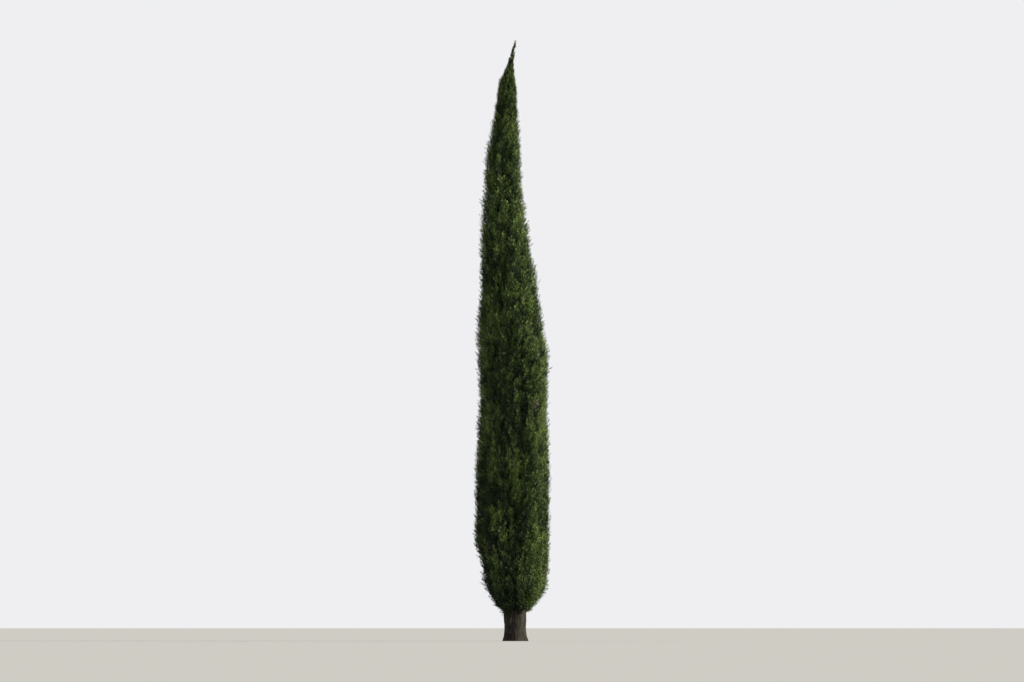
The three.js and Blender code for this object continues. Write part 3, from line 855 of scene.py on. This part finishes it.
def cone_scale():
    """Ripe cypress cones: woody scales weathered grey-brown, darker in blotches, and dull."""
    material, tree = new_material("cypress_cone_scale")
    place = add(tree, "ShaderNodeTexCoord")
    # Blotches of 8 mm, about a scale's width
    blotch = add(tree, "ShaderNodeTexNoise", {"Scale": 120, "Detail": 3}, {"Vector": (place, "Object")})
    colour = add(
        tree,
        "ShaderNodeValToRGB",
        {"stops": [(0.35, linear("#453f34")), (0.65, linear("#6e6757"))]},
        {"Fac": (blotch, "Fac")},
    )
    # Dark grooves about 2 mm wide between the scales
    boss = add(tree, "ShaderNodeAttribute", {"attribute_name": "crest"})
    groove = add(
        tree,
        "ShaderNodeValToRGB",
        {"stops": [(0.0, linear("#6a6055")), (0.35, linear("#ffffff"))]},
        {"Fac": (boss, "Fac")},
    )
    colour = add(
        tree,
        "ShaderNodeMixRGB",
        {"blend_type": "MULTIPLY", "Fac": 1.0},
        {"Color1": (colour, "Color"), "Color2": (groove, "Color")},
    )
    bump = add(tree, "ShaderNodeBump", {"Strength": 0.5, "Distance": 0.002}, {"Height": (blotch, "Fac")})
    shader = add(
        tree,
        "ShaderNodeBsdfPrincipled",
        {"Roughness": 0.8, "Specular IOR Level": 0.3},
        {"Base Color": (colour, "Color"), "Normal": (bump, "Normal")},
    )
    add(tree, "ShaderNodeOutputMaterial", {}, {"Surface": (shader, "BSDF")})
    return material


def scale_leaf(name, hex_colour):
    """Cypress scale leaves of one tint: a thin, nearly dull wax. Each spray has one tint of the set."""
    material, tree = new_material("scale_leaf_" + name)
    settings = {"Base Color": linear(hex_colour), "Roughness": 0.72, "Specular IOR Level": 0.3}
    shader = add(tree, "ShaderNodeBsdfPrincipled", settings)
    add(tree, "ShaderNodeOutputMaterial", {}, {"Surface": (shader, "BSDF")})
    return material


# Tints from the oldest foliage to the young tips, and how much of the foliage each takes
LEAF_TINTS = {
    "shade": ("#0f190b", 0.2),
    "deep": ("#182611", 0.24),
    "green": ("#283919", 0.25),
    "olive": ("#3b4e22", 0.17),
    "light": ("#55682d", 0.1),
    "tip": ("#6f8042", 0.04),
}
# Painted light: the crown is dealt paler tints upwards, as if light fell more fully on its upper half. This
# is the power to which the darker tints' shares are raised, by height
PALER = ((3, 7), (0.86, 1.7))
# Painted sunlight: the crown's lower right is dealt paler tints and lighter plume tones, as if lit from the
# right
PAINTED_SUN_ASIDE = 0.4  # how far out it is so in full
PAINTED_SUN_HEIGHTS = ((4, 5.5), (1, 0))
PAINTED_SUN_POWER = 1.5  # how much that power grows
PAINTED_SUN_TONE = 0.8


def painted_sunlight(place):
    """How much painted sunlight a place gets on the crown's lower right, from 0 to 1."""
    return smooth(place[..., 0] / PAINTED_SUN_ASIDE) * np.interp(place[..., 2], *PAINTED_SUN_HEIGHTS)


def deal_tints(tone, middle):
    """Which tint each face of a mass takes: the tints in turn fill their shares of the faces in order of
    tone, and where painted light makes the crown paler, upwards and on its lower right, the darker ones'
    shares are less."""
    shares = np.cumsum([share for _, share in LEAF_TINTS.values()])
    # painted light: paler upwards, and paler still in the painted sunlight on the lower right
    power = np.interp(middle[2], *PALER) + PAINTED_SUN_POWER * painted_sunlight(middle)
    bounds = np.quantile(tone, (shares[:-1] / shares[-1]) ** power)
    return np.searchsorted(bounds, tone, side="right")


def make_piece(
    name, points, faces, materials, stands_for=(), which=None, crest=None, straight=None,
    rounded=False,
):
    """A finished piece from corners and triangles. which is each face's material. crest and straight are
    kept at each corner for the materials: how far it stands out, and its place as if the stem were
    straight."""
    mesh = bpy.data.meshes.new(name)
    mesh.vertices.add(len(points))
    mesh.vertices.foreach_set("co", points.astype(np.float32).ravel())
    mesh.loops.add(faces.size)
    mesh.loops.foreach_set("vertex_index", faces.astype(np.int32).ravel())
    mesh.polygons.add(len(faces))
    mesh.polygons.foreach_set("loop_start", np.arange(0, faces.size, 3, dtype=np.int32))
    mesh.polygons.foreach_set("use_smooth", np.full(len(faces), rounded))
    for material in materials:
        mesh.materials.append(material)
    if which is not None:
        mesh.polygons.foreach_set("material_index", which.astype(np.int32))
    if crest is not None:
        mesh.attributes.new("crest", "FLOAT", "POINT").data.foreach_set("value", crest.astype(np.float32))
    if straight is not None:
        places = mesh.attributes.new("straight", "FLOAT_VECTOR", "POINT").data
        places.foreach_set("vector", straight.astype(np.float32).ravel())
    mesh.update(calc_edges=True)
    piece = bpy.data.objects.new(name, mesh)
    bpy.context.scene.collection.objects.link(piece)
    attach(piece, "root")
    if stands_for:
        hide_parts(*stands_for)
    return piece


# Making the tree

bark = cypress_bark()
young_bark = twig_bark()
leaf_materials = [scale_leaf(name, colour) for name, (colour, _) in LEAF_TINTS.items()]

points, faces, crest, straight = trunk_skin()
make_piece("trunk_bark", points, faces, [bark], ["trunk"], None, crest, straight, True)

crown = crown_map()
bud_rng = np.random.default_rng(SEED)
branch_buds = buds(bud_rng, BRANCH_STEP, BRANCH_TALL)
layers = [(layer, buds(bud_rng, layer.step, layer.tall)) for layer in (OUTER, INNER)]
outer_shoots = []
twigs = {tier: [] for tier in TIERS}
for number, mass in enumerate(MASSES):
    rng = np.random.default_rng(SEED + 1 + number)
    tier = mass.split("_")[0]
    line, low, high = limb_line(mass)
    if mass != "leader":
        points, faces, crest, straight = bough_skin(mass, line, low, high)
        name, solid = f"bough_{mass}_bark", "bough_" + mass
        make_piece(name, points, faces, [bark], [solid], None, crest, straight, True)
    branches = grow_branches(rng, line, low, high, only(branch_buds, branch_buds.mass == number))
    twigs[tier].append(tapered(branches, BRANCH_RADIUS, BRANCH_RINGS, BRANCH_SIDES))
    plume_tones = rng.normal(0, PLUME_SPREAD, len(branches[0]) + 1)
    # painted sunlight: plumes on the crown's lower right get lighter tones
    plume_tones += PAINTED_SUN_TONE * painted_sunlight(np.concatenate([branches[2], line(np.array([high]))]))
    foliage = []
    for layer, layer_buds in layers:
        ends = only(layer_buds, (layer_buds.mass == number) & (layer_buds.fine > layer.least_fine))
        shoots, branch, off = grow_shoots(rng, branches, line, low, high, ends, layer)
        foliage.append(grow_foliage(rng, shoots, branch, off, ends, layer, plume_tones))
        twigs[tier].append(tapered(shoots, SHOOT_RADIUS, SHOOT_RINGS, SHOOT_SIDES))
        if layer is OUTER:
            outer_shoots.append((shoots, ends.out))
    if tier in ("skirt", "leader"):
        ends = foot_buds(rng, line, low, number) if tier == "skirt" else tip_buds(number)
        shoots, branch, off = grow_shoots(rng, branches, line, low, high, ends, OUTER)
        foliage.append(grow_foliage(rng, shoots, branch, off, ends, OUTER, plume_tones))
        twigs[tier].append(tapered(shoots, SHOOT_RADIUS, SHOOT_RINGS, SHOOT_SIDES))
    points, faces = joined([part[:2] for part in foliage])
    which = deal_tints(np.concatenate([part[2] for part in foliage]), points.mean(axis=0))
    make_piece("leaves_" + mass, points, faces, leaf_materials, ["foliage_" + mass], which=which)

for tier, parts in twigs.items():
    points, faces = joined(parts)
    make_piece("twigs_" + tier, points, faces, [young_bark], rounded=True)

rng = np.random.default_rng(SEED)
every_shoot = [np.concatenate([shoots[part] for shoots, _ in outer_shoots]) for part in range(3)]
every_way = np.concatenate([ways for _, ways in outer_shoots])
points, faces, boss = cone_skins(rng, *cone_places(rng, every_shoot, every_way))
make_piece("cones", points, faces, [cone_scale()], crest=boss)


# Floor, light and camera


def pale_floor():
    """A plain pale floor, wide enough to run out of every view."""
    half = 400
    corners = [(-half, -half, 0), (half, -half, 0), (half, half, 0), (-half, half, 0)]
    mesh = bpy.data.meshes.new("floor")
    mesh.from_pydata(corners, [], [(0, 1, 2, 3)])
    floor = bpy.data.objects.new("floor", mesh)
    bpy.context.scene.collection.objects.link(floor)
    material, tree = new_material("pale_floor")
    settings = {"Base Color": linear("#949491"), "Roughness": 1.0, "Specular IOR Level": 0.0}
    shader = add(tree, "ShaderNodeBsdfPrincipled", settings)
    add(tree, "ShaderNodeOutputMaterial", {}, {"Surface": (shader, "BSDF")})
    mesh.materials.append(material)


def soft_light():
    """A wide soft lamp from the right, in front and above, and an even pale surround."""
    lamp = bpy.data.lights.new("key", "SUN")
    lamp.energy = 10
    lamp.angle = np.radians(18)
    lamp.color = (1.0, 0.96, 0.87)
    key = bpy.data.objects.new("key", lamp)
    key.rotation_euler = Vector((1.0, -0.12, 0.42)).to_track_quat("Z", "Y").to_euler()
    bpy.context.scene.collection.objects.link(key)
    world = bpy.data.worlds.new("surround")
    world.use_nodes = True
    background = world.node_tree.nodes["Background"]
    background.inputs["Color"].default_value = linear("#f2f2f4")
    background.inputs["Strength"].default_value = 0.97
    bpy.context.scene.world = world
    bpy.context.scene.view_settings.view_transform = "Standard"


def set_camera():
    """A long lens far off and near the ground: the photograph shows the tree level and without depth."""
    shown = TREE_HEIGHT / TREE_SHARE
    camera = bpy.data.cameras.new("camera")
    camera.sensor_width = 36
    camera.lens = camera.sensor_width / 2 / (shown / 2 / VIEW_DISTANCE * PICTURE[0] / PICTURE[1])
    camera.clip_end = 1000
    holder = bpy.data.objects.new("camera", camera)
    aim = Vector(((CAD_BOX[0].x + CAD_BOX[1].x) / 2, 0, TREE_HEIGHT / 2))
    holder.location = (aim.x, -VIEW_DISTANCE, EYE_HEIGHT)
    holder.rotation_euler = (holder.location - aim).to_track_quat("Z", "Y").to_euler()
    bpy.context.scene.collection.objects.link(holder)
    bpy.context.scene.camera = holder


pale_floor()
soft_light()
set_camera()
